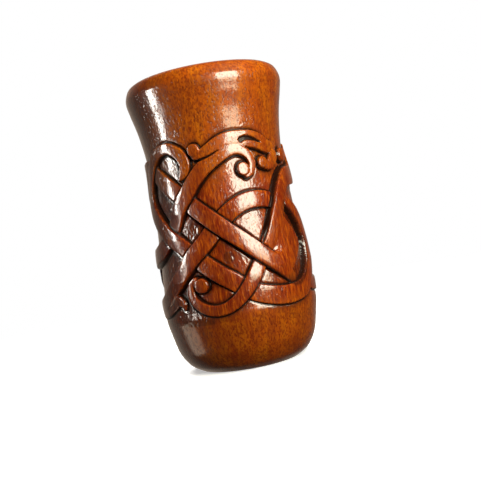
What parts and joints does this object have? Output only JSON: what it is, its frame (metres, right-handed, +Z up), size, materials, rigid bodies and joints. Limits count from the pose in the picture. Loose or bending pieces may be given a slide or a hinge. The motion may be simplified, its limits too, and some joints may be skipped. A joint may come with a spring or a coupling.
{
  "type": "carved wooden drinking cup",
  "caption": "Tall handleless drinking cup of varnished wood, hollowed out, with a flared rounded rim, round belly and carved interlaced bands.",
  "frame": {"origin": "on the cup's axis, in the plane of the foot ring that it stands on", "axes": "+Z up along the axis, -Y towards the carved front with the crossing bands"},
  "size_m": [0.0842, 0.0844, 0.155],
  "materials": {
    "stained_wood": "gloss varnish over red-amber stain",
    "plug_wood": "oiled",
    "beeswax": "soft wax"
  },
  "bodies": {
    "root": {"cup_body": "stained_wood", "base_plug": "plug_wood", "wax_seal": "beeswax"}
  },
  "joints": []
}
